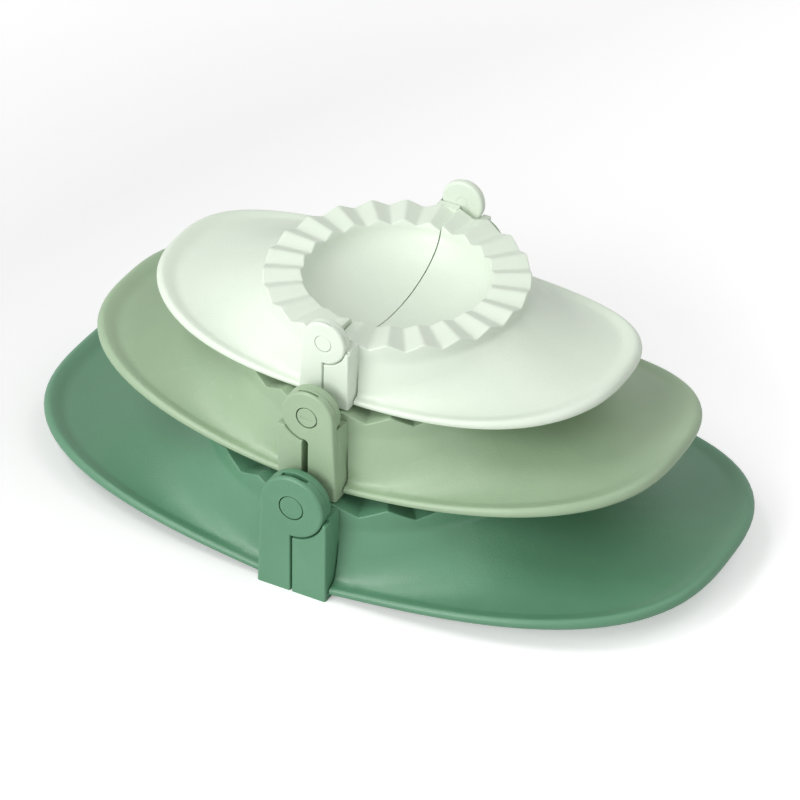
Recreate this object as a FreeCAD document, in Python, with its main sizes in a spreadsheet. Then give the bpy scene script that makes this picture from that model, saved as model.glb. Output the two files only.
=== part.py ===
import FreeCAD, Part
import math
import os

# A nested set of three dough presses. Each press has two moulded halves, a leaf half and a knuckle half,
# that fold about a hinge line along Y, and two snap-in pins.
# X is the span of the wings, Z is up, and the set stands on the posts of the large press.

doc = FreeCAD.newDocument("PressSet")
sheet = doc.addObject("Spreadsheet::Sheet", "Sizes")

# Sizes that the three presses share, in millimetres
shared_sizes = {
    "nest_gap": 0.3,
    "seam_gap": 0.3,
    "wall_gap": 0.3,
    "running_gap": 0.3,
    "axial_gap": 0.2,
    "pin_clearance": 0.05,
    "post_bite": 0.8,
    "groove_bite": 0.3,
    "post_groove": 0.6,
    "overrun": 2.0,
}

# Sizes of each press, in millimetres
press_sizes = {
    "large": {
        "wing_reach": 56.2,
        "side_reach": 6.4,
        "tip_rise": 9.8,
        "tip_dip": 3.4,
        "axis_height": 30.6,
        "hinge_clear": 3.1,
        "rim_width": 17.0,
        "bowl_depth": 21.6,
        "lip_lean": 1.8,
        "tooth_height": 3.3,
        "crest_drop": 0.8,
        "rim_wall": 1.4,
        "shoulder": 1.4,
        "skirt_reach": 1.4,
        "wall": 2.0,
        "bead_tip": 2.1,
        "bead_hinge": 1.3,
        "knuckle_width": 2.8,
        "knuckle_radius": 10.5,
        "leaf_thickness": 3.1,
        "stem_foot": 11.7,
        "stem_drop": 1.6,
        "stem_split": 0.3,
        "edge_round": 0.9,
        "slot_length": 8.6,
        "slot_width": 1.9,
        "slot_skin": 1.3,
        "slot_depth": 1.8,
        "pin_head": 3.8,
        "pin_shank": 2.7,
        "pin_barb": 3.2,
        "barb_length": 0.9,
        "slit_width": 0.0,
    },
    "medium": {
        "wing_reach": 47.7,
        "side_reach": 3.6,
        "tip_rise": 11.1,
        "tip_dip": 2.8,
        "axis_height": 27.2,
        "hinge_clear": 4.0,
        "rim_width": 14.3,
        "bowl_depth": 18.2,
        "lip_lean": 1.5,
        "tooth_height": 2.8,
        "crest_drop": 0.7,
        "rim_wall": 1.2,
        "shoulder": 1.9,
        "skirt_reach": 1.2,
        "wall": 1.9,
        "bead_tip": 2.1,
        "bead_hinge": 1.15,
        "knuckle_width": 2.9,
        "knuckle_radius": 8.6,
        "leaf_thickness": 2.5,
        "stem_foot": 9.8,
        "stem_drop": 1.4,
        "stem_split": 1.5,
        "edge_round": 0.8,
        "slot_length": 6.4,
        "slot_width": 0.4,
        "slot_skin": 0.8,
        "slot_depth": 1.4,
        "pin_head": 3.2,
        "pin_shank": 2.3,
        "pin_barb": 2.7,
        "barb_length": 0.8,
        "slit_width": 0.4,
    },
    "small": {
        "wing_reach": 36.4,
        "side_reach": 3.2,
        "tip_rise": 5.1,
        "tip_dip": 1.6,
        "axis_height": 20.8,
        "ring_outer": 40.0,
        "rim_width": 12.0,
        "bowl_depth": 15.2,
        "lip_lean": 1.2,
        "tooth_height": 2.4,
        "crest_drop": 0.6,
        "rim_wall": 1.0,
        "shoulder": 1.8,
        "skirt_reach": 0.9,
        "wall": 1.8,
        "bead_tip": 2.0,
        "bead_hinge": 1.0,
        "knuckle_width": 2.1,
        "knuckle_radius": 7.0,
        "leaf_thickness": 1.6,
        "stem_foot": 8.4,
        "stem_drop": 1.2,
        "stem_split": 0.2,
        "edge_round": 0.6,
        "slot_length": 5.0,
        "slot_width": 0.3,
        "slot_skin": 0.6,
        "slot_depth": 1.0,
        "pin_head": 2.6,
        "pin_shank": 1.8,
        "pin_barb": 2.15,
        "barb_length": 0.6,
        "slit_width": 0.0,
    },
}

# What follows from the sizes above. The ring of the small press is given, and each larger ring follows
# from the press inside it, so that its hinges stay clear of that press.
larger_ring = "{smaller_face_reach} + {hinge_clear} - {shoulder} - {wall_gap}"
derived_sizes = {
    "half_span": "{ring_outer} + {wing_reach}",
    "half_depth": "{ring_outer} + {side_reach}",
    "wing_foot": "{axis_height} - {crest_drop} - {tooth_height} - {rim_wall}",
    "bowl_radius": "{ring_outer} - {rim_width}",
    "knuckle_inside": "{ring_outer} + {shoulder} + {wall_gap}",
    "knuckle_outside": "{knuckle_inside} + {knuckle_width}",
    "leaf_inside": "{knuckle_outside} + {axial_gap}",
    "face_reach": "{leaf_inside} + {leaf_thickness}",
}

# Plain numbers that set the shape and not the size. An odd number of tooth flanks round half a ring
# lets the ridges of one half close on the troughs of the other.
tooth_flanks = {"large": 21, "medium": 21, "small": 23}
outline_power = {"large": 2.75, "medium": 2.73, "small": 2.49}
rise_power = {"large": 0.8, "medium": 1.36, "small": 3.2}
dip_power = 1.5
bead_power = 2.0
drop_share = 0.1
sweep_share = 0.26
section_step = 6.0
bead_start_angle = 165.0
rim_under_share = 1.25


def fill_sheet():
    row = 1
    for name, value in shared_sizes.items():
        sheet.set("A" + str(row), name)
        sheet.set("B" + str(row), str(value))
        sheet.setAlias("B" + str(row), name)
        row += 1
    for press, sizes in press_sizes.items():
        for name, value in sizes.items():
            sheet.set("A" + str(row), press + "_" + name)
            sheet.set("B" + str(row), str(value))
            sheet.setAlias("B" + str(row), press + "_" + name)
            row += 1
    doc.recompute()


class Press:
    """The sizes of one press: as numbers, and as text for expressions."""

    def __init__(self, name, smaller):
        self.name = name
        self.cells = {key: "Sizes." + name + "_" + key for key in press_sizes[name]}
        self.cells.update({key: "Sizes." + key for key in shared_sizes})
        if smaller:
            self.cells["smaller_face_reach"] = smaller.cells["face_reach"]
            self.derive("ring_outer", larger_ring)
        for key, text in derived_sizes.items():
            self.derive(key, text)

    def derive(self, key, text):
        self.cells[key] = "(" + text.format(**self.cells) + ")"

    def size(self, key):
        return float(sheet.evalExpression(self.cells[key]))

    def bind(self, thing, prop, text):
        thing.setExpression(prop, text.format(**self.cells))

    def add(self, kind, label):
        thing = doc.addObject(kind, self.name + "_" + label)
        thing.Label = self.name + "_" + label
        return thing


def polar(radius, angle, height):
    turn = math.radians(angle)
    return FreeCAD.Vector(radius * math.cos(turn), radius * math.sin(turn), height)


def bezier(points):
    curve = Part.BezierCurve()
    curve.setPoles(points)
    return curve.toShape()


# The wings


def arc_handle(angle):
    """How far the handles of a cubic curve reach for an arc of this angle and radius 1."""
    return 4 / 3 * math.tan(angle / 4)


def outline_radius(press, angle):
    power = outline_power[press.name]
    along = abs(math.cos(math.radians(angle))) / press.size("half_span")
    across = abs(math.sin(math.radians(angle))) / press.size("half_depth")
    return (along**power + across**power) ** (-1 / power)


def inside_polygon(corners, thickness):
    """The same open polygon, moved by the thickness to its lower right side."""
    moved = []
    for i, corner in enumerate(corners):
        before = corners[max(i - 1, 0)]
        after = corners[min(i + 1, len(corners) - 1)]
        legs = [pair for pair in ((before, corner), (corner, after)) if pair[0] != pair[1]]
        normals = []
        for start, end in legs:
            run = math.hypot(end[0] - start[0], end[1] - start[1])
            normals.append(((end[1] - start[1]) / run, (start[0] - end[0]) / run))
        mean = (sum(n[0] for n in normals) / len(normals), sum(n[1] for n in normals) / len(normals))
        square = mean[0] ** 2 + mean[1] ** 2
        moved.append((corner[0] + thickness * mean[0] / square, corner[1] + thickness * mean[1] / square))
    return moved


def wing_section(press, angle):
    """One closed section of a wing, in the upright plane through the ring's centre at this angle."""
    reach = outline_radius(press, angle)
    tipward = abs(reach * math.cos(math.radians(angle))) / press.size("half_span")
    ring = press.size("ring_outer")
    wall = press.size("wall")
    foot = press.size("wing_foot")
    bead_growth = press.size("bead_tip") - press.size("bead_hinge")
    bead = press.size("bead_hinge") + bead_growth * tipward**bead_power
    edge = press.size("tip_rise") * tipward ** rise_power[press.name]
    centre = (reach - bead, edge + bead)
    start = math.radians(bead_start_angle)
    bead_top = (centre[0] + bead * math.cos(start), centre[1] + bead * math.sin(start))
    skirt = ring + press.size("skirt_reach")
    low = bead_top[1] - press.size("tip_dip") * tipward**dip_power
    share = drop_share + (sweep_share - drop_share) * tipward
    top = [
        (ring - wall, foot),
        (skirt, foot),
        (skirt + share * (bead_top[0] - skirt), low),
        bead_top,
    ]
    under = inside_polygon(top, wall)
    under[2] = (under[2][0], max(under[2][1], 0))
    over_handle = arc_handle(start) * bead
    below_handle = arc_handle(math.pi / 2) * bead
    bead_out = (centre[0] + bead, centre[1])
    bead_low = (centre[0], centre[1] - bead)
    under[-1] = bead_low
    tangent = (math.sin(start) * over_handle, -math.cos(start) * over_handle)
    over = [
        bead_top,
        (bead_top[0] + tangent[0], bead_top[1] + tangent[1]),
        (bead_out[0], bead_out[1] + over_handle),
        bead_out,
    ]
    below = [
        bead_out,
        (bead_out[0], bead_out[1] - below_handle),
        (bead_low[0] + below_handle, bead_low[1]),
        bead_low,
    ]
    curves = []
    for points in (top, over, below, list(reversed(under))):
        curves.append(bezier([polar(radius, angle, height) for radius, height in points]))
    ends = [polar(corner[0], angle, corner[1]) for corner in (under[0], top[0])]
    curves.append(Part.makeLine(*ends))
    return Part.Wire(curves)


def wing(press):
    count = round(180 / section_step)
    wires = [wing_section(press, -90 + section_step * i) for i in range(count + 1)]
    return Part.makeLoft(wires, True, False)


# The ring and its bowl


def rim_and_bowl(press):
    axis = press.size("axis_height")
    wall = press.size("wall")
    bowl = press.size("bowl_radius")
    middle = axis - press.size("crest_drop") - press.size("tooth_height") / 2
    trough = middle - press.size("tooth_height") / 2
    under = trough - press.size("rim_wall") - wall * rim_under_share
    depth = middle - (axis - press.size("bowl_depth"))

    def elliptical(radius, drop, end_height):
        # from the bowl's bottom up to the given height, as one rational curve of three poles
        start = math.asin((middle - end_height) / drop)
        half = (math.pi / 2 - start) / 2
        poles = [
            (math.cos(start), math.sin(start)),
            (math.cos(start + half) / math.cos(half), math.sin(start + half) / math.cos(half)),
            (0, 1),
        ]
        curve = Part.BezierCurve()
        curve.setPoles([FreeCAD.Vector(x * radius, 0, middle - y * drop) for x, y in poles])
        curve.setWeight(2, math.cos(half))
        return curve

    inner = elliptical(bowl, depth, trough)
    outer = elliptical(bowl + wall, depth + wall, under)
    inner_top, inner_bottom = inner.StartPoint, inner.EndPoint
    outer_top, outer_bottom = outer.StartPoint, outer.EndPoint
    corners = [
        inner_top,
        FreeCAD.Vector(inner_top.x + press.size("lip_lean"), 0, axis),
        FreeCAD.Vector(press.size("ring_outer"), 0, axis),
        FreeCAD.Vector(press.size("ring_outer"), 0, under),
        outer_top,
    ]
    edges = [inner.toShape(), outer.toShape(), Part.makeLine(outer_bottom, inner_bottom)]
    for start, end in zip(corners, corners[1:]):
        edges.append(Part.makeLine(start, end))
    face = Part.Face(Part.Wire(Part.__sortEdges__(edges)))
    turned = face.revolve(FreeCAD.Vector(0, 0, 0), FreeCAD.Vector(0, 0, 1), 180)
    turned.rotate(FreeCAD.Vector(0, 0, 0), FreeCAD.Vector(0, 0, 1), -90)
    return turned


def teeth_cutter(press):
    """What lies above the zigzag: flat facets that run in to one point on the centre line."""
    axis = press.size("axis_height")
    half_tooth = press.size("tooth_height") / 2
    middle = axis - press.size("crest_drop") - half_tooth
    beyond = press.size("ring_outer") + press.size("overrun")
    rise = half_tooth * beyond / press.size("ring_outer")
    flanks = tooth_flanks[press.name]
    low_ring = []
    for i in range(-1, flanks + 2):
        level = middle - rise if i % 2 == 0 else middle + rise
        low_ring.append(polar(beyond, -90 + i * 180 / flanks, level))
    top = axis + press.size("overrun")
    high_ring = [FreeCAD.Vector(p.x, p.y, top) for p in low_ring]
    low_centre = FreeCAD.Vector(0, 0, middle)
    high_centre = FreeCAD.Vector(0, 0, top)
    faces = []
    for i in range(len(low_ring) - 1):
        a, b, c, d = low_ring[i], low_ring[i + 1], high_ring[i + 1], high_ring[i]
        faces.append(Part.Face(Part.makePolygon([low_centre, a, b, low_centre])))
        faces.append(Part.Face(Part.makePolygon([high_centre, c, d, high_centre])))
        faces.append(Part.Face(Part.makePolygon([a, b, c, d, a])))
    for end in (0, -1):
        corners = [low_centre, low_ring[end], high_ring[end], high_centre, low_centre]
        faces.append(Part.Face(Part.makePolygon(corners)))
    solid = Part.Solid(Part.Shell(faces))
    if solid.Volume < 0:
        solid.reverse()
    return solid


def half_shell(press):
    shell = rim_and_bowl(press).cut(teeth_cutter(press))
    return shell.fuse(wing(press)).removeSplitter()


# The hinges


def across_y(thing, press, start, height):
    """Lays a cylinder along Y, from the given place, at the given height."""
    about_x = FreeCAD.Rotation(FreeCAD.Vector(1, 0, 0), -90)
    thing.Placement = FreeCAD.Placement(FreeCAD.Vector(0, 0, 0), about_x)
    press.bind(thing, "Placement.Base.y", start)
    press.bind(thing, "Placement.Base.z", height)


def disc(press, label, radius, near, far, front):
    """A round on the hinge line between two distances from the middle, at the front or the back."""
    thing = press.add("Part::Cylinder", label)
    press.bind(thing, "Radius", radius)
    press.bind(thing, "Height", "(" + far + ") - (" + near + ")")
    start = "-(" + far + ")" if front else near
    across_y(thing, press, start, "{axis_height}")
    return thing


def stem(press, label, inner, front, mirrored):
    """A tapered post from the ring's wall to the hinge face, and from the base to below the axis."""
    thing = press.add("Part::Wedge", label)
    lean = FreeCAD.Rotation(FreeCAD.Vector(1, 0, 0), 90)
    thing.Placement = FreeCAD.Placement(FreeCAD.Vector(0, 0, 0), lean)
    sides = {"Xmin": "-{stem_foot}", "X2min": "-({knuckle_radius} + {running_gap})"}
    sides.update({"Xmax": "-(" + inner + ")", "X2max": "-(" + inner + ")"})
    if mirrored:
        sides = {"Xmin": inner, "X2min": inner}
        sides.update({"Xmax": "{stem_foot}", "X2max": "{stem_foot} - {running_gap}"})
    back = "{ring_outer} - {post_bite}"
    reach = (back, "{face_reach}") if front else ("-{face_reach}", "-(" + back + ")")
    for prop, text in sides.items():
        press.bind(thing, prop, text)
    for prop in ("Zmin", "Z2min"):
        press.bind(thing, prop, reach[0])
    for prop in ("Zmax", "Z2max"):
        press.bind(thing, prop, reach[1])
    thing.Ymin = 0
    press.bind(thing, "Ymax", "{axis_height} - {stem_drop}")
    return thing


def fuse(press, label, things):
    thing = press.add("Part::MultiFuse", label)
    thing.Shapes = things
    thing.Refine = True
    return thing


def cut(press, label, base, tool):
    thing = press.add("Part::Cut", label)
    thing.Base = base
    thing.Tool = tool
    return thing


def round_face(press, label, base, keep_sharp):
    """Rounds the edges of both hinge faces, but not those beside the seam or on the base."""
    doc.recompute()
    reach = press.size("face_reach")
    chosen = []
    for number, edge in enumerate(base.Shape.Edges, 1):
        middle = edge.valueAt((edge.FirstParameter + edge.LastParameter) / 2)
        places = [v.Point for v in edge.Vertexes] + [middle]
        on_face = all(math.isclose(abs(p.y), reach) for p in places)
        if on_face and abs(middle.x) > keep_sharp and middle.z > press.size("edge_round"):
            chosen.append((number, press.size("edge_round"), press.size("edge_round")))
    thing = press.add("Part::Fillet", label)
    thing.Base = base
    thing.Edges = chosen
    return thing


def shell_feature(press, label, turned):
    """Bowl, ring and wing of one half, with the wing cleared where the posts stand."""
    thing = press.add("Part::Feature", label)
    thing.Shape = half_shell(press)
    shift = press.size("seam_gap") / 2
    place = FreeCAD.Placement(FreeCAD.Vector(shift, 0, 0), FreeCAD.Rotation())
    if turned:
        about_z = FreeCAD.Rotation(FreeCAD.Vector(0, 0, 1), 180)
        place = FreeCAD.Placement(FreeCAD.Vector(-shift, 0, 0), about_z)
    thing.Placement = place
    clearings = [post_clearing(press, label + "_front_clearing", turned, True)]
    clearings.append(post_clearing(press, label + "_rear_clearing", turned, False))
    return cut(press, label + "_cleared", thing, fuse(press, label + "_clearings", clearings))


def post_clearing(press, label, turned, front):
    """The room for a post in the wing, which leaves a narrow groove along the post's outer side."""
    thing = press.add("Part::Box", label)
    press.bind(thing, "Length", "{stem_foot} + {post_groove} + {overrun}")
    press.bind(thing, "Width", "{half_depth} + {overrun} - {ring_outer} + {groove_bite}")
    press.bind(thing, "Height", "{wing_foot} + {overrun}")
    across = "-({stem_foot} + {post_groove})" if turned else "-{overrun}"
    along = "-({half_depth} + {overrun})" if front else "{ring_outer} - {groove_bite}"
    press.bind(thing, "Placement.Base.x", across)
    press.bind(thing, "Placement.Base.y", along)
    press.bind(thing, "Placement.Base.z", "-{overrun}")
    return thing


def leaf_half(press):
    """The half with the outer leaf of both hinges."""
    shell = shell_feature(press, "leaf_shell", True)
    posts, rooms, bores = [], [], []
    for side, front in (("front", True), ("rear", False)):
        posts.append(stem(press, "leaf_stem_" + side, "{seam_gap} / 2", front, False))
        leaf = ("{knuckle_radius}", "{leaf_inside}", "{face_reach}")
        posts.append(disc(press, "leaf_disc_" + side, leaf[0], leaf[1], leaf[2], front))
        room = ("{knuckle_radius} + {running_gap}", "{ring_outer} + {shoulder}", "{leaf_inside}")
        rooms.append(disc(press, "knuckle_room_" + side, room[0], room[1], room[2], front))
        bore_start = "{leaf_inside} - {axial_gap} / 2"
        bore = ("{pin_head} + {pin_clearance}", bore_start, "{face_reach} + {overrun}")
        bores.append(disc(press, "head_bore_" + side, bore[0], bore[1], bore[2], front))
        bores.append(top_slot(press, "top_slot_" + side, front))
    blank = fuse(press, "leaf_posts", posts)
    rounded = round_face(press, "leaf_posts_rounded", blank, press.size("seam_gap"))
    body = fuse(press, "leaf_body", [shell, rounded])
    roomy = cut(press, "leaf_with_rooms", body, fuse(press, "rooms", rooms))
    return cut(press, "leaf_half", roomy, fuse(press, "leaf_bores", bores))


def top_slot(press, label, front):
    """The narrow slot that the mould leaves in the top of a leaf's rim."""
    thing = press.add("Part::Box", label)
    press.bind(thing, "Length", "{slot_length}")
    press.bind(thing, "Width", "{slot_width}")
    press.bind(thing, "Height", "{slot_depth} + {overrun}")
    press.bind(thing, "Placement.Base.x", "-{slot_length} / 2")
    start = "-({face_reach} - {slot_skin})" if front else "{face_reach} - {slot_skin} - {slot_width}"
    press.bind(thing, "Placement.Base.y", start)
    press.bind(thing, "Placement.Base.z", "{axis_height} + {knuckle_radius} - {slot_depth}")
    return thing


def knuckle_half(press):
    """The half with the inner knuckle of both hinges."""
    shell = shell_feature(press, "knuckle_shell", False)
    stems, discs, rooms, bores = [], [], [], []
    for side, front in (("front", True), ("rear", False)):
        stems.append(stem(press, "knuckle_stem_" + side, "{stem_split}", front, True))
        room = ("{knuckle_radius} + {running_gap}", "{knuckle_outside}", "{face_reach} + {overrun}")
        rooms.append(disc(press, "leaf_room_" + side, room[0], room[1], room[2], front))
        knuckle = ("{knuckle_radius}", "{knuckle_inside}", "{knuckle_outside}")
        discs.append(disc(press, "knuckle_" + side, knuckle[0], knuckle[1], knuckle[2], front))
        inside = "{ring_outer} + {shoulder}"
        bore = ("{pin_shank} + {pin_clearance}", inside, "{leaf_inside}")
        bores.append(disc(press, "pin_bore_" + side, bore[0], bore[1], bore[2], front))
        barb = ("{pin_barb} + {pin_clearance}", inside, "{knuckle_inside} + {barb_length} + {axial_gap}")
        bores.append(disc(press, "barb_bore_" + side, barb[0], barb[1], barb[2], front))
    short = cut(press, "stems_cleared", fuse(press, "stems", stems), fuse(press, "leaf_rooms", rooms))
    rounded = round_face(press, "stems_rounded", short, press.size("knuckle_radius"))
    body = fuse(press, "knuckle_body", [shell, rounded] + discs)
    return cut(press, "knuckle_half", body, fuse(press, "knuckle_bores", bores))


def pin(press, side, front):
    """A snap-in pin: its head lies flush in the leaf and its barb holds behind the knuckle."""
    head = disc(press, "head_" + side, "{pin_head}", "{leaf_inside}", "{face_reach}", front)
    shank = disc(press, "shank_" + side, "{pin_shank}", "{knuckle_inside}", "{leaf_inside}", front)
    barb_end = "{knuckle_inside} + {barb_length}"
    barb = disc(press, "barb_" + side, "{pin_barb}", "{knuckle_inside}", barb_end, front)
    whole = fuse(press, side + "_pin_blank", [head, shank, barb])
    if press.size("slit_width") == 0:
        return whole
    slit = press.add("Part::Box", "slit_" + side)
    press.bind(slit, "Length", "2 * {pin_head}")
    press.bind(slit, "Width", "{slit_width}")
    press.bind(slit, "Height", "{slit_width}")
    press.bind(slit, "Placement.Base.x", "-{pin_head}")
    start = "-{face_reach}" if front else "{face_reach} - {slit_width}"
    press.bind(slit, "Placement.Base.y", start)
    press.bind(slit, "Placement.Base.z", "{axis_height} - {slit_width} / 2")
    return cut(press, side + "_pin_slit", whole, slit)


# The stack: each smaller press rests on the crests of the one below, and the medium one is turned round

base_heights = {
    "large": "0",
    "medium": "Sizes.large_axis_height - Sizes.large_crest_drop + Sizes.nest_gap",
    "small": "Sizes.large_axis_height - Sizes.large_crest_drop + Sizes.medium_axis_height"
    " - Sizes.medium_crest_drop + 2 * Sizes.nest_gap",
}
turned_presses = ("medium",)

fill_sheet()
nodes = {}
press = None
for name in ("small", "medium", "large"):
    press = Press(name, press)
    made = {
        "leaf_half": leaf_half(press),
        "knuckle_half": knuckle_half(press),
        "front_pin": pin(press, "front", True),
        "rear_pin": pin(press, "rear", False),
    }
    for label, thing in made.items():
        turn = 180 if name in turned_presses else 0
        about_z = FreeCAD.Rotation(FreeCAD.Vector(0, 0, 1), turn)
        thing.Placement = FreeCAD.Placement(FreeCAD.Vector(0, 0, 0), about_z)
        thing.setExpression("Placement.Base.z", base_heights[name])
        thing.Label = name + "_" + label
        nodes[name + "_" + label] = thing
doc.recompute()

for thing in doc.Objects:
    if "Invalid" in thing.State or "Error" in thing.State:
        raise RuntimeError(thing.Label + " was not made: " + str(thing.State))
for label, thing in nodes.items():
    shape = thing.Shape
    if shape.isNull() or not shape.isValid():
        raise RuntimeError(label + " has no sound shape")
    print(label, len(shape.Solids), "solids", round(shape.Volume), "mm3")

os.makedirs("parts", exist_ok=True)
for label, thing in nodes.items():
    thing.Shape.exportStep("parts/" + label + ".step")
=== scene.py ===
import math

import bmesh
import bpy
from mathutils import Matrix, Vector


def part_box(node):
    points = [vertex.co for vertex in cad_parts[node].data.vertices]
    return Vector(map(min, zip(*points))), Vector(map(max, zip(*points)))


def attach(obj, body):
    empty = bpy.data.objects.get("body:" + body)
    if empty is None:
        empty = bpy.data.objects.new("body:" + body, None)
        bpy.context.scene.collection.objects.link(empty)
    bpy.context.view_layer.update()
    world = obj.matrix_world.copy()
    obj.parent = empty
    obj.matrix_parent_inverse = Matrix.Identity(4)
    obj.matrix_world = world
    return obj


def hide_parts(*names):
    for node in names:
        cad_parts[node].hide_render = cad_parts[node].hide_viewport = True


# Three folding dough presses, nested open on each other: pale green on sage on dark green.
# Every half is modelled anew from its section, round the hinge line and base that the frame gives.

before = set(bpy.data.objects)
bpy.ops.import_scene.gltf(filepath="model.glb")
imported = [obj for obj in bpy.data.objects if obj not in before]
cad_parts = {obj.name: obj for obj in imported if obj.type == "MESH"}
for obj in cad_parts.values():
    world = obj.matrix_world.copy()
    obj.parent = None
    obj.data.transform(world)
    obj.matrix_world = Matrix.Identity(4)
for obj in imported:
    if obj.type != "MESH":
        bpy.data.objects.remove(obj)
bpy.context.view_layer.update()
mm = 0.001
print("frame loaded:", len(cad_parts), "nodes")


# Camera

cameraView = {
    "azimuth": 27.38,
    "elevation": 34.74,
    "roll": -1.15,
    "distance": 1184.0,  # mm, from the target
    "focalPixels": 3900.0,
    "target": (0, 0, 40),  # mm
    "targetPixel": (395.3, 372.1),  # where the target lies in the photograph
    "pictureSide": 800,
    "sensorWidth": 36,
    "nearest": 0.01,  # m
    "farthest": 20,
}


def placeCamera(view):
    turn = math.radians(view["azimuth"])
    lift = math.radians(view["elevation"])
    roll = math.radians(view["roll"])
    back = Vector((math.sin(turn) * math.cos(lift), -math.cos(turn) * math.cos(lift), math.sin(lift)))
    right = Vector((math.cos(turn), math.sin(turn), 0))
    up = back.cross(right)
    right, up = right * math.cos(roll) - up * math.sin(roll), right * math.sin(roll) + up * math.cos(roll)
    target = Vector(view["target"]) * mm
    place = target + back * view["distance"] * mm
    # the picture's middle, seen from there, lies beside the target
    perPixel = view["distance"] * mm / view["focalPixels"]
    aside = (view["pictureSide"] / 2 - view["targetPixel"][0]) * perPixel
    below = (view["pictureSide"] / 2 - view["targetPixel"][1]) * perPixel
    middle = target + right * aside - up * below
    back = (place - middle).normalized()
    right = up.cross(back).normalized()
    up = back.cross(right)
    data = bpy.data.cameras.new("camera")
    data.sensor_width = view["sensorWidth"]
    data.lens = view["focalPixels"] * view["sensorWidth"] / view["pictureSide"]
    data.clip_start = view["nearest"]
    data.clip_end = view["farthest"]
    camera = bpy.data.objects.new("camera", data)
    bpy.context.scene.collection.objects.link(camera)
    axes = Matrix((right, up, back)).transposed().to_4x4()
    camera.matrix_world = Matrix.Translation(place) @ axes
    bpy.context.scene.camera = camera


placeCamera(cameraView)
print("camera placed")


# Shader maths: a socket that can be added, multiplied and so on

class Flow:
    def __init__(self, tree, socket):
        self.tree = tree
        self.socket = socket

    def make(self, kind, settings=None, inputs=None, output=0):
        node = self.tree.nodes.new(kind)
        for name, value in (settings or {}).items():
            setattr(node, name, value)
        for name, value in (inputs or {}).items():
            if isinstance(value, Flow):
                self.tree.links.new(value.socket, node.inputs[name])
            else:
                node.inputs[name].default_value = value
        return Flow(self.tree, node.outputs[output] if node.outputs else None)

    def maths(self, operation, *values):
        return self.make("ShaderNodeMath", {"operation": operation}, dict(enumerate(values)))

    def __add__(self, other):
        return self.maths("ADD", self, other)

    def __radd__(self, other):
        return self.maths("ADD", other, self)

    def __sub__(self, other):
        return self.maths("SUBTRACT", self, other)

    def __rsub__(self, other):
        return self.maths("SUBTRACT", other, self)

    def __mul__(self, other):
        return self.maths("MULTIPLY", self, other)

    def __rmul__(self, other):
        return self.maths("MULTIPLY", other, self)

    def clamped(self):
        return self.maths("MINIMUM", self.maths("MAXIMUM", self, 0.0), 1.0)

    def mix(self, first, second):
        # self is the share of the second colour; sockets 0, 6 and 7 are the factor and the two colours
        return self.make("ShaderNodeMix", {"data_type": "RGBA"}, {0: self, 6: first, 7: second}, output=2)


def emptyNodes(owner):
    # clears a material's or world's nodes and gives a flow to start from
    owner.use_nodes = True
    owner.node_tree.nodes.clear()
    return Flow(owner.node_tree, None)


def linear(colour):
    # from the 0 to 255 of a picture to the shader's own light values
    shares = [value / 255 for value in colour]
    return tuple(s / 12.92 if s <= 0.04045 else ((s + 0.055) / 1.055) ** 2.4 for s in shares) + (1.0,)


# Moulded plastic with a fine spark-eroded grain, and a painted highlight that lightens its rounded edges

plasticFinish = {
    "grainSize": 0.5,  # mm
    "grainHeight": 0.08,  # mm
    "cloudSize": 38,  # mm
    "cloudFrom": 0.35,  # the noise value where the main colour starts to take over
    "cloudGain": 3.0,
    "rippleSize": 6.5,  # mm, the slow unevenness of a moulded skin
    "rippleHeight": 0.012,  # mm
    "roughLow": 0.32,
    "roughHigh": 0.46,
    "roughFromCloud": 0.6,
    "roughFromGrain": 0.4,
    "edgeFrom": 0.53,  # the pointiness where the painted edge highlight starts
    "edgeGain": 9.0,
    "edgeHighlightShare": 0.14,
    "refraction": 1.56,
}
plasticColours = {
    "dark_green_plastic": {"main": (93, 144, 112), "deep": (88, 137, 106), "paintedEdgeHighlight": (134, 182, 151)},
    "sage_green_plastic": {"main": (159, 183, 150), "deep": (153, 177, 145), "paintedEdgeHighlight": (194, 214, 186)},
    "pale_green_plastic": {"main": (227, 237, 223), "deep": (221, 233, 216), "paintedEdgeHighlight": (240, 246, 237)},
}


def noise(start, place, size, detail, roughness):
    # size in mm
    sockets = {"Vector": place, "Scale": 1 / (size * mm), "Detail": detail, "Roughness": roughness}
    return start.make("ShaderNodeTexNoise", inputs=sockets)


def plasticMaterial(slot):
    colours = plasticColours[slot]
    finish = plasticFinish
    material = bpy.data.materials.new(slot.replace("_", " "))
    start = emptyNodes(material)
    place = start.make("ShaderNodeTexCoord", output="Object")
    cloud = noise(start, place, finish["cloudSize"], 3.0, 0.55)
    grain = noise(start, place, finish["grainSize"], 2.0, 0.6)
    ripple = noise(start, place, finish["rippleSize"], 1.0, 0.5)
    bent = start.make("ShaderNodeNewGeometry", output="Pointiness")
    # painted highlight: rounded edges and beads are lightened towards a paler colour in place of their shine
    edge = ((bent - finish["edgeFrom"]) * finish["edgeGain"]).clamped() * finish["edgeHighlightShare"]
    soft = ((cloud - finish["cloudFrom"]) * finish["cloudGain"]).clamped()
    body = soft.mix(linear(colours["deep"]), linear(colours["main"]))
    colour = edge.mix(body, linear(colours["paintedEdgeHighlight"]))
    uneven = (cloud * finish["roughFromCloud"] + grain * finish["roughFromGrain"]).clamped()
    rough = finish["roughLow"] + uneven * (finish["roughHigh"] - finish["roughLow"])
    height = ripple * finish["rippleHeight"] * mm + grain * finish["grainHeight"] * mm
    bump = start.make("ShaderNodeBump", inputs={"Strength": 1.0, "Distance": 1.0, "Height": height})
    shader = start.make(
        "ShaderNodeBsdfPrincipled",
        inputs={"Base Color": colour, "Roughness": rough, "IOR": finish["refraction"], "Normal": bump},
    )
    start.make("ShaderNodeOutputMaterial", inputs={"Surface": shader})
    return material


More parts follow.
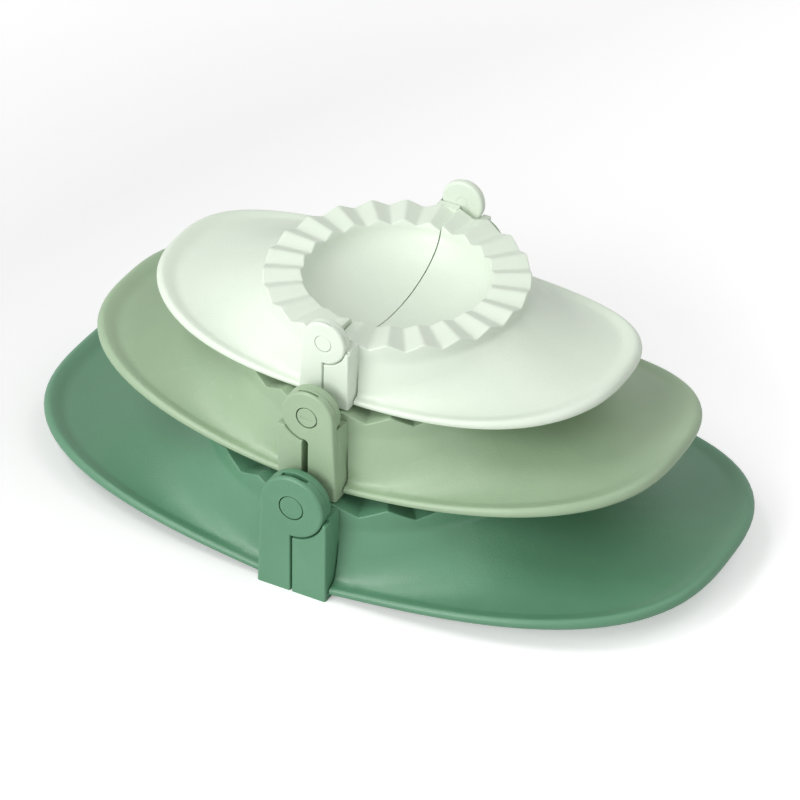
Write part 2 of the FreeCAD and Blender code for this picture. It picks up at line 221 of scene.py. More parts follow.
plastics = {slot: plasticMaterial(slot) for slot in plasticColours}
print("materials made")


# Sizes of the presses, in mm and degrees. Hinge heights, reaches and bases come from the frame.

sharedSizes = {
    "seamGap": 0.44,  # between the two halves, lying open
    "runningGap": 0.3,  # round a knuckle
    "axialGap": 0.2,  # between leaf and knuckle
    "postBite": 0.8,  # how far a post runs into the ring
    "grooveBite": 0.3,
    "postGroove": 0.4,  # the groove in the wing beside a post
    "weldBite": 0.01,  # how far two pieces of one moulding run into each other
    "pinBite": 0.1,  # the same for a pin's head and shank
    "boreRoom": 0.05,  # between a pin's shank and its bore
    "boreBite": 0.2,  # how far a bore goes past the knuckle
    "overrun": 2.0,  # how far a cutting block goes past what it cuts
    "faceOverrun": 1.0,
    "crestRound": 0.5,
    "lipRound": 0.5,
    "lipFootRound": 0.8,
    "rootRound": 1.2,
    "underRound": 0.5,
    "rimBelow": 1.25,  # the rim's underside below the wing's root, in walls
    "rootRoom": 0.3,  # the most that the rounded root takes, of the wing's width
    "hollowRoom": 0.5,  # the most that the bead's hollow takes, of the wing's width
    "hollowPull": 0.45,  # how full the hollow's curve is
    "dipPower": 1.5,
    "dropShare": 0.1,
    "sweepShare": 0.26,
    "beadStart": 165,  # degrees, at the tip; beside the hinge the bead is hardly raised
    "beadStartHinge": 112,
    "beadBlend": 108,  # degrees, where the wing's hollow runs out on the bead
    "beadBlendHinge": 82,
    "hollowShare": 2.2,  # how far the hollow reaches in, of the bead's radius
    "drumFrontRound": 0.2,
    "cornerArc": 25,  # degrees of the disc that its bottom corner is rounded towards
    "slitShare": 0.62,  # half the slit's length, of the pin head's radius
    "slitDepth": 0.12,
}
presses = {
    "large": {
        "slot": "dark_green_plastic",
        "turned": False,  # True where it is stacked turned half round
        "ringOuter": 57.0,  # radius outside the teeth
        "bowlRadius": 40.0,
        "bowlDepth": 21.6,  # below the hinge line
        "lipLean": 1.8,
        "toothHeight": 3.3,
        "crestDrop": 0.8,  # the highest ridge below the hinge line
        "rimWall": 1.4,  # between the troughs and the wing's root
        "shoulder": 1.4,  # from the ring to the room for the knuckle
        "skirtReach": 1.4,  # how far the wing starts out level
        "wall": 2.0,
        "sideReach": 6.4,  # the wing beyond the ring, beside the hinge
        "tipRise": 9.8,  # the bead above the base, at the tip
        "risePower": 0.8,
        "tipDip": 3.4,  # how far the wing sags before the tip
        "beadTip": 2.1,  # the bead's radius
        "beadHinge": 1.3,
        "outlinePower": 2.75,  # 2 is an ellipse, more is squarer
        "toothFlanks": 21,  # round half a ring
        "ridgeRound": 0.4,  # degrees
        "knuckleRadius": 10.5,
        "leafThickness": 3.1,
        "knuckleWidth": 2.8,
        "stemFoot": 11.7,  # a post's outer corner, from the seam
        "leafStemDrop": 1.6,  # tops of the posts, below the hinge line
        "stemDrop": 1.6,
        "postDrop": 3.0,
        "stemSplit": 0.3,  # the knuckle's post starts here, from the seam
        "cornerRound": 0.0,
        "edgeRound": 1.0,
        "drumRound": 1.0,
        "slotLength": 8.6,
        "slotWidth": 1.9,
        "slotSkin": 1.3,  # wall left in front of the slot
        "slotDepth": 1.8,
        "pinShank": 2.7,
        "pinGap": 0.32,  # the dark ring round the pin's head
        "pinRound": 0.25,
        "pinSlit": 0.0,
    },
    "medium": {
        "slot": "sage_green_plastic",
        "turned": True,
        "ringOuter": 47.8,
        "bowlRadius": 33.5,
        "bowlDepth": 18.2,
        "lipLean": 1.5,
        "toothHeight": 2.8,
        "crestDrop": 0.7,
        "rimWall": 1.2,
        "shoulder": 1.9,
        "skirtReach": 1.2,
        "wall": 1.9,
        "sideReach": 3.6,
        "tipRise": 11.1,
        "risePower": 1.36,
        "tipDip": 2.8,
        "beadTip": 2.1,
        "beadHinge": 1.15,
        "outlinePower": 2.73,
        "toothFlanks": 21,
        "ridgeRound": 0.45,
        "knuckleRadius": 8.6,
        "leafThickness": 2.5,
        "knuckleWidth": 2.9,
        "stemFoot": 9.8,
        "leafStemDrop": 3.4,
        "stemDrop": 1.4,
        "postDrop": 5.0,
        "stemSplit": 1.5,
        "cornerRound": 1.2,
        "edgeRound": 0.9,
        "drumRound": 0.9,
        "slotLength": 6.4,
        "slotWidth": 0.8,
        "slotSkin": 0.8,
        "slotDepth": 1.4,
        "pinShank": 2.3,
        "pinGap": 0.36,
        "pinRound": 0.25,
        "pinSlit": 0.9,
    },
    "small": {
        "slot": "pale_green_plastic",
        "turned": False,
        "ringOuter": 40.0,
        "bowlRadius": 28.0,
        "bowlDepth": 15.2,
        "lipLean": 1.2,
        "toothHeight": 2.4,
        "crestDrop": 0.6,
        "rimWall": 1.0,
        "shoulder": 1.8,
        "skirtReach": 0.9,
        "wall": 1.8,
        "sideReach": 3.2,
        "tipRise": 5.1,
        "risePower": 3.2,
        "tipDip": 1.6,
        "beadTip": 2.0,
        "beadHinge": 1.0,
        "outlinePower": 2.49,
        "toothFlanks": 23,
        "ridgeRound": 0.95,
        "knuckleRadius": 7.0,
        "leafThickness": 1.6,
        "knuckleWidth": 2.1,
        "stemFoot": 8.4,
        "leafStemDrop": 1.2,
        "stemDrop": 1.2,
        "postDrop": 1.7,
        "rearStemDrop": 4.4,
        "rearPostDrop": 4.4,
        "rearLeafRadius": 6.2,
        "stemSplit": 0.2,
        "cornerRound": 0.0,
        "edgeRound": 0.8,
        "drumRound": 0.9,
        "slotLength": 5.0,
        "slotWidth": 0.3,
        "slotSkin": 0.6,
        "slotDepth": 1.0,
        "pinShank": 1.8,
        "pinGap": 0.13,
        "pinRound": 0.18,
        "pinSlit": 0.0,
    },
}


def readFrame(name, press):
    # what the frame settles: base, hinge line, faces, pin and span; then what follows from the sizes
    press.update(sharedSizes)
    low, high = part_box(name + "_leaf_half")
    pinLow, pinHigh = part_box(name + "_front_pin")
    press["name"] = name
    press["base"] = low.z / mm
    press["axis"] = (pinLow.z + pinHigh.z) / 2 / mm - press["base"]
    press["faceReach"] = max(-pinLow.y, pinHigh.y) / mm
    press["pinHead"] = (pinHigh.z - pinLow.z) / 2 / mm
    press["halfSpan"] = max(-low.x, high.x) / mm - press["seamGap"] / 2
    press["halfDepth"] = press["ringOuter"] + press["sideReach"]
    press["leafInside"] = press["faceReach"] - press["leafThickness"]
    press["knuckleOutside"] = press["leafInside"] - press["axialGap"]
    press["knuckleInside"] = press["knuckleOutside"] - press["knuckleWidth"]
    press["knuckleRoom"] = press["knuckleRadius"] + press["runningGap"]
    press["stemBack"] = press["ringOuter"] - press["postBite"]
    press["rootHeight"] = press["axis"] - press["crestDrop"] - press["toothHeight"] - press["rimWall"]
    # the rear hinge is like the front one where the press says nothing else
    press.setdefault("rearLeafRadius", press["knuckleRadius"])
    press.setdefault("rearStemDrop", press["stemDrop"])
    press.setdefault("rearPostDrop", press["postDrop"])


for name, press in presses.items():
    readFrame(name, press)


# Curves and outlines, all in mm

legShare = 0.45  # the most of a leg that a rounded corner takes
halvings = 30  # in the search for a place on a curve


def between(first, second, share):
    return first + (second - first) * share


def onCircle(degrees):
    turn = math.radians(degrees)
    return Vector((math.cos(turn), math.sin(turn)))


def arcPoints(centre, radius, first, last, steps):
    points = []
    for i in range(steps + 1):
        turn = math.radians(first + (last - first) * i / steps)
        points.append(Vector((centre[0] + radius * math.cos(turn), centre[1] + radius * math.sin(turn))))
    return points


def roundedCorner(before, corner, after, radius, steps):
    # a small arc in place of a corner, as points
    corner = Vector(corner)
    toBefore = Vector(before) - corner
    toAfter = Vector(after) - corner
    cut = min(radius, toBefore.length * legShare, toAfter.length * legShare)
    start = corner + toBefore.normalized() * cut
    end = corner + toAfter.normalized() * cut
    points = []
    for i in range(steps + 1):
        share = i / steps
        points.append(start * (1 - share) ** 2 + corner * (2 * share * (1 - share)) + end * share**2)
    return points


def bezierPoint(poles, share):
    points = [Vector(p) for p in poles]
    while len(points) > 1:
        points = [a.lerp(b, share) for a, b in zip(points, points[1:])]
    return points[0]


def whereRadius(poles, radius):
    # how far along a wing's curve it stands at this distance from the ring's centre
    low, high = 0.0, 1.0
    for _ in range(halvings):
        middle = (low + high) / 2
        if bezierPoint(poles, middle).x < radius:
            low = middle
        else:
            high = middle
    return low


def insidePolygon(corners, thickness):
    # the same open line of legs, a wall's thickness further in
    corners = [Vector(c) for c in corners]
    moved = []
    for i, corner in enumerate(corners):
        normals = []
        for j in (i - 1, i):
            if 0 <= j < len(corners) - 1:
                leg = (corners[j + 1] - corners[j]).normalized()
                normals.append(Vector((leg.y, -leg.x)))
        mean = sum(normals, Vector((0, 0))) / len(normals)
        moved.append(corner + mean * thickness / mean.length_squared)
    return moved


# The section of a half: bowl, toothed rim, wing and bead

sectionSteps = {"bowl": 26, "wing": 23, "hollow": 9, "bead": 12, "underWing": 16, "underBowl": 18}
ridgeShifts = (-1, -0.5, 0, 0.5, 1)  # columns over a ridge, of ridgeRound


def toothSlope(press, angle):
    # height of the zigzag over its middle, per mm from the centre; the facets are flat
    half = 180 / press["toothFlanks"]
    total = 0
    for shift in ridgeShifts:
        place = (angle + 90 + press["ridgeRound"] * shift) / half
        index = math.floor(place)
        share = place - index
        if index % 2:
            share = 1 - share
        rise = math.sin(math.radians(half * share)) - math.sin(math.radians(half * (1 - share)))
        total += rise / math.sin(math.radians(half))
    return total / len(ridgeShifts) * press["toothHeight"] / 2 / press["ringOuter"]


def columnAngles(press):
    # where a half has columns of points: over and between the ridges
    half = 180 / press["toothFlanks"]
    near = [press["ridgeRound"] * s for s in ridgeShifts]
    far = [half * s for s in (0.25, 0.5, 0.75)]
    angles = set()
    for i in range(press["toothFlanks"] + 1):
        ridge = -90 + half * i
        for shift in near + far:
            if -90 < ridge + shift < 90:
                angles.add(round(ridge + shift, 4))
    return [-90.0] + sorted(angles) + [90.0]


def wingPoles(press, angle):
    # the wing's upper and lower curve, and its bead's centre and radius, in one direction
    turn = math.radians(angle)
    power = press["outlinePower"]
    along = abs(math.cos(turn)) / press["halfSpan"]
    across = abs(math.sin(turn)) / press["halfDepth"]
    reach = (along**power + across**power) ** (-1 / power)
    tipward = abs(reach * math.cos(turn)) / press["halfSpan"]
    bead = between(press["beadHinge"], press["beadTip"], tipward**2)
    centre = Vector((reach - bead, press["tipRise"] * tipward ** press["risePower"] + bead))
    beadTop = centre + onCircle(between(press["beadStartHinge"], press["beadStart"], tipward)) * bead
    skirt = press["ringOuter"] + press["skirtReach"]
    sag = beadTop.y - press["tipDip"] * tipward ** press["dipPower"]
    share = between(press["dropShare"], press["sweepShare"], tipward)
    upper = [
        Vector((press["ringOuter"] - press["wall"], press["rootHeight"])),
        Vector((skirt, press["rootHeight"])),
        Vector((skirt + share * (beadTop.x - skirt), sag)),
        beadTop,
    ]
    lower = insidePolygon(upper, press["wall"])
    lower[2].y = max(lower[2].y, 0)
    lower[3] = centre - Vector((0, bead))
    return upper, lower, centre, bead, tipward


def rimHeights(press):
    # middle and troughs of the zigzag, the rim's underside, and the bowl's depth below the middle
    middle = press["axis"] - press["crestDrop"] - press["toothHeight"] / 2
    trough = middle - press["toothHeight"] / 2
    under = trough - press["rimWall"] - press["wall"] * press["rimBelow"]
    return middle, trough, under, middle - (press["axis"] - press["bowlDepth"])


def bowlAndTeeth(press, angle, root):
    # from the bowl's bottom over the lip and the rim's edge towards the wing's root
    middle, trough, _, depth = rimHeights(press)
    bowl, ring = press["bowlRadius"], press["ringOuter"]
    slope = toothSlope(press, angle)
    turnTop = math.acos((middle - trough) / depth)
    steps = sectionSteps["bowl"]
    points = []
    for i in range(steps):
        turn = turnTop * i / steps
        points.append(Vector((bowl * math.sin(turn), middle - depth * math.cos(turn))))
    lipFoot = Vector((bowl * math.sin(turnTop), trough))
    lean = press["lipLean"] / (press["axis"] - trough)
    crestHeight = (middle + slope * (lipFoot.x - lean * trough)) / (1 - slope * lean)
    lipCrest = Vector((lipFoot.x + lean * (crestHeight - trough), crestHeight))
    rimEdge = Vector((ring, middle + slope * ring))
    points += roundedCorner(points[-1], lipFoot, lipCrest, press["lipFootRound"], 3)
    points += roundedCorner(lipFoot, lipCrest, rimEdge, press["lipRound"], 3)
    points += [lipCrest.lerp(rimEdge, s) for s in (0.2, 0.5, 0.8)]
    points += roundedCorner(lipCrest, rimEdge, root, press["crestRound"], 4)
    points += [rimEdge.lerp(root, s) for s in (0.35, 0.65)]
    return points, rimEdge


def wingAndBead(press, wing, rimEdge, root):
    # out over the wing, through a soft hollow and round the bead
    upper, _, centre, bead, tipward = wing
    ring = press["ringOuter"]
    room = upper[3].x - ring
    start = whereRadius(upper, ring + min(press["rootRound"] / legShare, room * press["rootRoom"]))
    hollowStart = max(upper[3].x - press["hollowShare"] * bead, ring + room * press["hollowRoom"])
    end = whereRadius(upper, hollowStart)
    steps = sectionSteps["wing"]
    curve = [bezierPoint(upper, start + (end - start) * i / steps) for i in range(steps + 1)]
    points = roundedCorner(rimEdge, root, curve[0], press["rootRound"], 5) + curve
    along = (curve[-1] - curve[-2]).normalized()
    first = between(press["beadBlendHinge"], press["beadBlend"], tipward)
    outward = onCircle(first)
    onward = Vector((outward.y, -outward.x))
    blend = centre + outward * bead
    reach = (blend - curve[-1]).length * press["hollowPull"]
    hollow = [curve[-1], curve[-1] + along * reach, blend - onward * reach, blend]
    steps = sectionSteps["hollow"]
    points += [bezierPoint(hollow, i / steps) for i in range(1, steps + 1)]
    steps = sectionSteps["bead"]
    points += [centre + onCircle(first - i * (first + 90) / steps) * bead for i in range(1, steps + 1)]
    return points


def underside(press, lower):
    # back under the wing and the rim, and down the bowl's outside
    middle, _, under, depth = rimHeights(press)
    ring = press["ringOuter"]
    outerRadius = press["bowlRadius"] + press["wall"]
    outerDepth = depth + press["wall"]
    start = whereRadius(lower, ring)
    steps = sectionSteps["underWing"]
    points = [bezierPoint(lower, 1 - (1 - start) * i / steps) for i in range(1, steps + 1)]
    corner = Vector((ring, under))
    outerTurn = math.acos((middle - under) / outerDepth)
    outerTop = Vector((outerRadius * math.sin(outerTurn), under))
    points += roundedCorner(points[-1], corner, outerTop, press["underRound"], 3)
    points += [corner.lerp(outerTop, s) for s in (0.4, 0.7)]
    points.append(outerTop)
    steps = sectionSteps["underBowl"]
    for i in range(1, steps + 1):
        turn = outerTurn * (1 - i / steps)
        points.append(Vector((outerRadius * math.sin(turn), middle - outerDepth * math.cos(turn))))
    return points


def halfSection(press, angle):
    # one closed section of a half, from the bowl's bottom out to the bead and back under it
    wing = wingPoles(press, angle)
    upper, lower = wing[:2]
    root = bezierPoint(upper, whereRadius(upper, press["ringOuter"]))
    points, rimEdge = bowlAndTeeth(press, angle, root)
    return points + wingAndBead(press, wing, rimEdge, root) + underside(press, lower)


# Solids, all in mm

meshCare = {
    "discSteps": 72,
    "arcSteps": 20,
    "cornerSteps": 5,
    "nearlyInLine": 0.4,  # sine of the angle between two edges that count as one line
    "sameX": 0.01,  # mm
    "onBase": 0.01,  # mm
    "besideSeam": 2,  # mm
    "overBase": 1,  # mm, an edge that stands clear of the foot
    "seamSoftness": 0.45,  # how round an edge is beside the seam, of the full rounding
    "hollowSoftness": 0.4,
    "shortPostSoftness": 0.5,
    "sharpAngle": 32,  # degrees
    "centreWeld": 1e-5,  # mm
    "weld": 1e-6,  # m
    "tinyEdge": 1e-7,  # m
}


def meshObject(name, bm):
    bmesh.ops.recalc_face_normals(bm, faces=bm.faces)
    mesh = bpy.data.meshes.new(name)
    bm.to_mesh(mesh)
    bm.free()
    thing = bpy.data.objects.new(name, mesh)
    bpy.context.scene.collection.objects.link(thing)
    return thing


def shellObject(press, name, leftSide):
    # bowl and wing of one half, from a section in every column's direction
    bm = bmesh.new()
    shift = press["seamGap"] / 2
    columns = []
    for angle in columnAngles(press):
        turn = math.radians(angle)
        column = []
        for point in halfSection(press, angle):
            x = point.x * math.cos(turn) + shift
            y = point.x * math.sin(turn)
            if leftSide:
                x, y = -x, -y
            column.append(bm.verts.new((x, y, point.y)))
        columns.append(column)
    for left, right in zip(columns, columns[1:]):
        for i in range(len(left) - 1):
            bm.faces.new((left[i], left[i + 1], right[i + 1], right[i]))
    bm.faces.new(columns[0])
    bm.faces.new(columns[-1])
    # all columns meet on the centre line
    for row in (0, -1):
        bmesh.ops.pointmerge(bm, verts=[c[row] for c in columns], merge_co=columns[0][row].co.copy())
    bmesh.ops.dissolve_degenerate(bm, edges=bm.edges, dist=meshCare["centreWeld"])
    return meshObject(name, bm)


def insetOutline(outline, inset, softShare):
    # every edge moved inwards; the share says how far, from 0 on the base to 1
    count = len(outline)
    area = sum(outline[i - 1].cross(outline[i]) for i in range(count))
    normals = []
    for i in range(count):
        leg = (outline[i] - outline[i - 1]).normalized()
        normals.append(Vector((-leg.y, leg.x)) * math.copysign(1, area))
    moved = []
    for i in range(count):
        j = (i + 1) % count
        first, second = normals[i], normals[j]
        firstInset = inset * softShare(outline[i - 1], outline[i])
        secondInset = inset * softShare(outline[i], outline[j])
        across = first.cross(second)
        if abs(across) < meshCare["nearlyInLine"]:
            middle = (first + second).normalized()
            moved.append(outline[i] + middle * (firstInset + secondInset) / 2)
            continue
        x = (firstInset * second.y - secondInset * first.y) / across
        y = (first.x * secondInset - second.x * firstInset) / across
        moved.append(outline[i] + Vector((x, y)))
    return moved


def postSoftness(start, end):
    # how round an edge of a hinge face is: not on the base, less beside the seam
    if max(start.y, end.y) < meshCare["onBase"]:
        return 0
    if abs(start.x - end.x) < meshCare["sameX"] and abs(start.x) < meshCare["besideSeam"]:
        return meshCare["seamSoftness"]
    return 1


def shortPostSoftness(start, end):
    # the hollow's edge is rounded least
    upright = abs(start.x - end.x) <= meshCare["sameX"] * 2
    if not upright and min(start.y, end.y) > meshCare["overBase"] and start.x > end.x:
        return meshCare["hollowSoftness"]
    return postSoftness(start, end) * meshCare["shortPostSoftness"]


def evenSoftness(start, end):
    return 1


def plateObject(name, outline, back, face, edgeRound=0.0, backRound=0.0, softShare=evenSoftness, steps=5):
    # a flat outline in X and Z, from the back to the face along -Y, with rounded edges
    layers = []
    for i in range(steps + 1 if backRound > 0 else 1):
        turn = math.pi / 2 * i / steps
        layers.append((backRound * (1 - math.sin(turn)), back + backRound * (1 - math.cos(turn))))
    for i in range(steps, -1, -1) if edgeRound > 0 else (0,):
        turn = math.pi / 2 * i / steps
        layers.append((edgeRound * (1 - math.sin(turn)), face - edgeRound * (1 - math.cos(turn))))
    bm = bmesh.new()
    rings = []
    for inset, place in layers:
        points = insetOutline(outline, inset, softShare) if inset > 0 else outline
        rings.append([bm.verts.new((p[0], -place, p[1])) for p in points])
    bm.faces.new(rings[0])
    bm.faces.new(rings[-1])
    count = len(outline)
    for behind, ahead in zip(rings, rings[1:]):
        for i in range(count):
            j = (i + 1) % count
            bm.faces.new((behind[i], behind[j], ahead[j], ahead[i]))
    return meshObject(name, bm)


def discObject(name, radius, back, face, height, edgeRound=0.0, backRound=0.0):
    outline = arcPoints((0, height), radius, 0, 360, meshCare["discSteps"])[:-1]
    return plateObject(name, outline, back, face, edgeRound, backRound)


def mirrored(thing, axis):
    # the same solid on the other side, its faces turned the right way again
    factors = Vector((1, 1, 1))
    factors[axis] = -1
    thing.data.transform(Matrix.Diagonal(factors.to_4d()))
    thing.data.flip_normals()
    return thing


def combine(base, tool, operation):
    change = base.modifiers.new("change", "BOOLEAN")
    change.operation = operation
    change.solver = "MANIFOLD"
    change.object = tool
    graph = bpy.context.evaluated_depsgraph_get()
    result = bpy.data.meshes.new_from_object(base.evaluated_get(graph))
    base.modifiers.clear()
    old = base.data
    base.data = result
    bpy.data.meshes.remove(old)
    bpy.data.meshes.remove(tool.data)
    return base


# Posts and discs of the hinges, and what is cut for them

def leafOutline(press, radius):
    # post and disc as one P-shaped outline, the post on the left
    axis = press["axis"]
    foot, gap = press["stemFoot"], press["seamGap"] / 2
    rounding = press["cornerRound"]
    toFoot = math.degrees(math.atan2(-axis, -foot)) % 360
    touch = toFoot - math.degrees(math.acos(radius / math.hypot(foot, axis)))
    bottom = math.degrees(math.asin(-gap / radius)) - 90
    disc = arcPoints((0, axis), radius, bottom, touch, meshCare["discSteps"])
    inner = Vector((-gap, 0))
    outline = [inner]
    if rounding > 0:
        along = arcPoints((0, axis), radius, bottom, bottom + press["cornerArc"], 2)[-1]
        outline += roundedCorner(inner, disc[0], along, rounding, meshCare["cornerSteps"])
        disc = [p for p in disc if p.x > -gap + rounding or p.y > axis - radius / 2]
    outline += disc
    outline.append(Vector((-foot, 0)))
    return outline


def stemOutline(press, side, drop, spread=0.0):
    # the post behind a leaf, or the knuckle's own, from the base up to just under the hinge line
    foot = press["stemFoot"]
    if side < 0:
        inner, head = press["seamGap"] / 2, press["knuckleRoom"]
    else:
        inner, head = press["stemSplit"], foot - press["runningGap"]
    top = press["axis"] - drop
    return [
        Vector((side * inner, 0)),
        Vector((side * (foot + spread), 0)),
        Vector((side * (head + spread), top)),
        Vector((side * inner, top)),
    ]


def shortPostOutline(press, drop):
    # the knuckle's post in front, hollowed to let the leaf's disc turn
    axis, room = press["axis"], press["knuckleRoom"]
    split, foot = press["stemSplit"], press["stemFoot"]
    low = math.degrees(math.asin(split / room)) - 90
    high = -math.degrees(math.asin(drop / room))
    arc = arcPoints((0, axis), room, low, high, meshCare["arcSteps"])
    arc.reverse()
    return [Vector((split, 0)), Vector((foot, 0)), Vector((foot, axis - drop))] + arc


def clearingTool(press, side):
    # the room for a post in the wing, with a narrow groove along the post's outer side
    height = press["rootHeight"]
    stem = stemOutline(press, side, press["stemDrop"], press["postGroove"])
    lean = (stem[2].x - stem[1].x) / stem[2].y
    outer, inner = stem[1].x, -side * press["overrun"]
    low = -press["overrun"]
    outline = [
        Vector((inner, low)),
        Vector((outer + lean * low, low)),
        Vector((outer + lean * height, height)),
        Vector((inner, height)),
    ]
    back = press["ringOuter"] - press["grooveBite"]
    return plateObject("clearing", outline, back, press["halfDepth"] + press["overrun"])


def slotTool(press):
    # the narrow slot in the top of a disc
    half = press["slotLength"] / 2
    bottom = press["axis"] + press["knuckleRadius"] - press["slotDepth"]
    top = press["axis"] + press["knuckleRadius"] + press["overrun"]
    outline = [Vector(p) for p in ((-half, bottom), (half, bottom), (half, top), (-half, top))]
    front = press["faceReach"] - press["slotSkin"]
    return plateObject("slot", outline, front - press["slotWidth"], front)


def leafDisc(press, radius):
    return plateObject(
        "leaf",
        leafOutline(press, radius),
        press["leafInside"],
        press["faceReach"],
        press["edgeRound"],
        softShare=postSoftness,
    )


def shortPost(press, drop):
    return plateObject(
        "post",
        shortPostOutline(press, drop),
        press["knuckleOutside"] - press["weldBite"],
        press["faceReach"],
        press["edgeRound"],
        softShare=shortPostSoftness,
    )


def knuckleDrum(press):
    return discObject(
        "drum",
        press["knuckleRadius"],
        press["knuckleInside"],
        press["knuckleOutside"],
        press["axis"],
        press["drumFrontRound"],
        press["drumRound"],
    )


def boreTool(press, radius, back, face):
    return discObject("bore", radius, back, face, press["axis"])


# The two halves of a press and its pins, made with the leaf half on the left

def fitHinge(shell, steps, rear):
    # cuts from the shell and adds to it in turn, at the front or the rear
    for tool, _ in steps:
        if rear:
            mirrored(tool, 1)
    for tool, operation in steps:
        combine(shell, tool, operation)


def leafHalf(press):
    shell = shellObject(press, press["name"] + "LeafHalf", True)
    inside, face, axis = press["leafInside"], press["faceReach"], press["axis"]
    for rear in (False, True):
        disc = leafDisc(press, press["rearLeafRadius" if rear else "knuckleRadius"])
        outline = stemOutline(press, -1, press["leafStemDrop"])
        stem = plateObject("stem", outline, press["stemBack"], inside + press["weldBite"])
        clearing = clearingTool(press, -1)
        room = discObject("room", press["knuckleRoom"], press["ringOuter"] + press["shoulder"], inside, axis)
        holeRadius = press["pinHead"] + press["pinGap"]
        bore = boreTool(press, holeRadius, inside - press["pinBite"], face + press["faceOverrun"])
        slot = slotTool(press)
        steps = [
            (clearing, "DIFFERENCE"),
            (stem, "UNION"),
            (room, "DIFFERENCE"),
            (disc, "UNION"),
            (bore, "DIFFERENCE"),
            (slot, "DIFFERENCE"),
        ]
        fitHinge(shell, steps, rear)
    return shell


def knuckleHalf(press):
    shell = shellObject(press, press["name"] + "KnuckleHalf", False)
    for rear in (False, True):
        outline = stemOutline(press, 1, press["rearStemDrop" if rear else "stemDrop"])
        stem = plateObject("stem", outline, press["stemBack"], press["knuckleOutside"])
        clearing = clearingTool(press, 1)
        post = shortPost(press, press["rearPostDrop" if rear else "postDrop"])
        drum = knuckleDrum(press)
        holeRadius = press["pinShank"] + press["boreRoom"]
        bore = boreTool(press, holeRadius, press["knuckleInside"] - press["boreBite"], press["leafInside"])
        steps = [
            (clearing, "DIFFERENCE"),
            (stem, "UNION"),
            (post, "UNION"),
            (drum, "UNION"),
            (bore, "DIFFERENCE"),
        ]
        fitHinge(shell, steps, rear)
    return shell


def pinObject(press, rear):
    name = press["name"] + ("RearPin" if rear else "FrontPin")
    inside, face, axis = press["leafInside"], press["faceReach"], press["axis"]
    head = discObject(name, press["pinHead"], inside, face, axis, press["pinRound"])
    shank = discObject("shank", press["pinShank"], press["knuckleInside"], inside + press["pinBite"], axis)
    combine(head, shank, "UNION")
    if press["pinSlit"] > 0:
        half, tall = press["pinHead"] * press["slitShare"], press["pinSlit"] / 2
        corners = ((-1, -1), (1, -1), (1, 1), (-1, 1))
        outline = [Vector((x * half, axis + z * tall)) for x, z in corners]
        slit = plateObject("slit", outline, face - press["slitDepth"], face + press["faceOverrun"])
        combine(head, slit, "DIFFERENCE")
    if rear:
        mirrored(head, 1)
    return head


def finishPiece(thing, press, node, body):
    # to its place and real units, smooth but for sharp edges
    turn = Matrix.Rotation(math.pi if press["turned"] else 0, 4, "Z")
    lift = Matrix.Translation((0, 0, press["base"]))
    thing.data.transform(Matrix.Scale(mm, 4) @ lift @ turn)
    bm = bmesh.new()
    bm.from_mesh(thing.data)
    bmesh.ops.remove_doubles(bm, verts=bm.verts, dist=meshCare["weld"])
    bmesh.ops.dissolve_degenerate(bm, edges=bm.edges, dist=meshCare["tinyEdge"])
    bmesh.ops.recalc_face_normals(bm, faces=bm.faces)
    bm.to_mesh(thing.data)
    bm.free()
    thing.data.shade_smooth()
    thing.data.set_sharp_from_angle(angle=math.radians(meshCare["sharpAngle"]))
    weights = thing.modifiers.new("weights", "WEIGHTED_NORMAL")
    weights.keep_sharp = True
    thing.data.materials.clear()
    thing.data.materials.append(plastics[press["slot"]])
    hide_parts(node)
    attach(thing, body)


for name, press in presses.items():
    finishPiece(leafHalf(press), press, name + "_leaf_half", name + "_leaf")
    finishPiece(knuckleHalf(press), press, name + "_knuckle_half", name + "_knuckle")
    finishPiece(pinObject(press, False), press, name + "_front_pin", name + "_leaf")
    finishPiece(pinObject(press, True), press, name + "_rear_pin", name + "_leaf")
    print(name, "press made")


# Floor, world and lamps

paleFloor = {
    "halfSide": 3.0,  # m
    "colour": 0.92,
    "glowLeft": 0.07,  # seen by the camera alone, and lighting nothing
    "glowRight": 0.46,
    "glowTurn": 3.0,  # per m, from the left value to the right one
    "glowMiddle": 0.5,
    "poolRadius": 0.18,  # m, beyond which the right value takes over on all sides
    "poolTurn": 2.5,  # per m
}
whiteWorld = {"strength": 0.35}
lamps = {
    "key": {"place": (-0.52, -1.62, 0.82), "size": 1.1, "power": 21.4},
    "side": {"place": (-0.78, -0.6, 1.68), "size": 0.8, "power": 9},
    "back": {"place": (0.894, 0.463, 1.65), "size": 1.2, "power": 4.5},
    "fill": {"place": (0.96, -0.304, 1.65), "size": 1.2, "power": 2},
}
lampAim = Vector((0, 0, 0.04))  # m


def grey(value):
    return (value, value, value, 1)


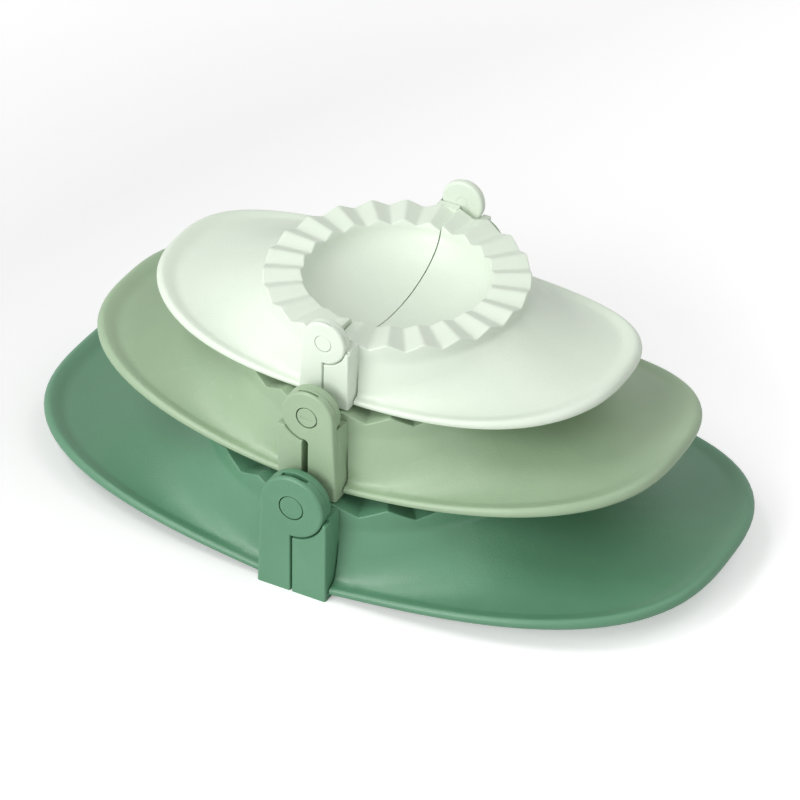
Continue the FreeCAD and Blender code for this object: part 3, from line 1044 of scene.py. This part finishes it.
def makeFloor(sizes):
    bm = bmesh.new()
    bmesh.ops.create_grid(bm, x_segments=1, y_segments=1, size=sizes["halfSide"])
    floor = meshObject("floor", bm)
    material = bpy.data.materials.new("pale floor")
    start = emptyNodes(material)
    matte = start.make("ShaderNodeBsdfDiffuse", inputs={"Color": grey(sizes["colour"])})
    place = start.make("ShaderNodeTexCoord", output="Object")
    across = start.make("ShaderNodeSeparateXYZ", inputs={0: place})
    away = start.make("ShaderNodeVectorMath", {"operation": "LENGTH"}, {0: place}, output=1)
    rightward = (across * sizes["glowTurn"] + sizes["glowMiddle"]).clamped()
    outward = ((away - sizes["poolRadius"]) * sizes["poolTurn"]).clamped()
    lift = start.maths("MAXIMUM", rightward, outward).mix(grey(sizes["glowLeft"]), grey(sizes["glowRight"]))
    seen = start.make("ShaderNodeLightPath", output="Is Camera Ray")
    glow = start.make("ShaderNodeEmission", inputs={"Color": lift, "Strength": seen})
    both = start.make("ShaderNodeAddShader", inputs={0: matte, 1: glow})
    start.make("ShaderNodeOutputMaterial", inputs={"Surface": both})
    floor.data.materials.append(material)


def makeWorld(sizes):
    # white to the camera and in reflections, dimmer as light
    world = bpy.data.worlds.new("studio")
    bpy.context.scene.world = world
    start = emptyNodes(world)
    rays = ("Is Camera Ray", "Is Glossy Ray", "Is Transmission Ray")
    camera, glossy, clear = (start.make("ShaderNodeLightPath", output=ray) for ray in rays)
    seen = (camera + glossy + clear).clamped()
    strength = seen * (1 - sizes["strength"]) + sizes["strength"]
    sky = start.make("ShaderNodeBackground", inputs={"Color": grey(1), "Strength": strength})
    start.make("ShaderNodeOutputWorld", inputs={"Surface": sky})


def areaLamp(name, lamp):
    data = bpy.data.lights.new(name, "AREA")
    data.shape = "SQUARE"
    data.size = lamp["size"]
    data.energy = lamp["power"]
    thing = bpy.data.objects.new(name, data)
    bpy.context.scene.collection.objects.link(thing)
    place = Vector(lamp["place"])
    turn = (place - lampAim).to_track_quat("Z", "Y").to_matrix().to_4x4()
    thing.matrix_world = Matrix.Translation(place) @ turn


makeFloor(paleFloor)
makeWorld(whiteWorld)
for name, lamp in lamps.items():
    areaLamp(name, lamp)
bpy.context.scene.view_settings.view_transform = "Standard"
print("studio made")
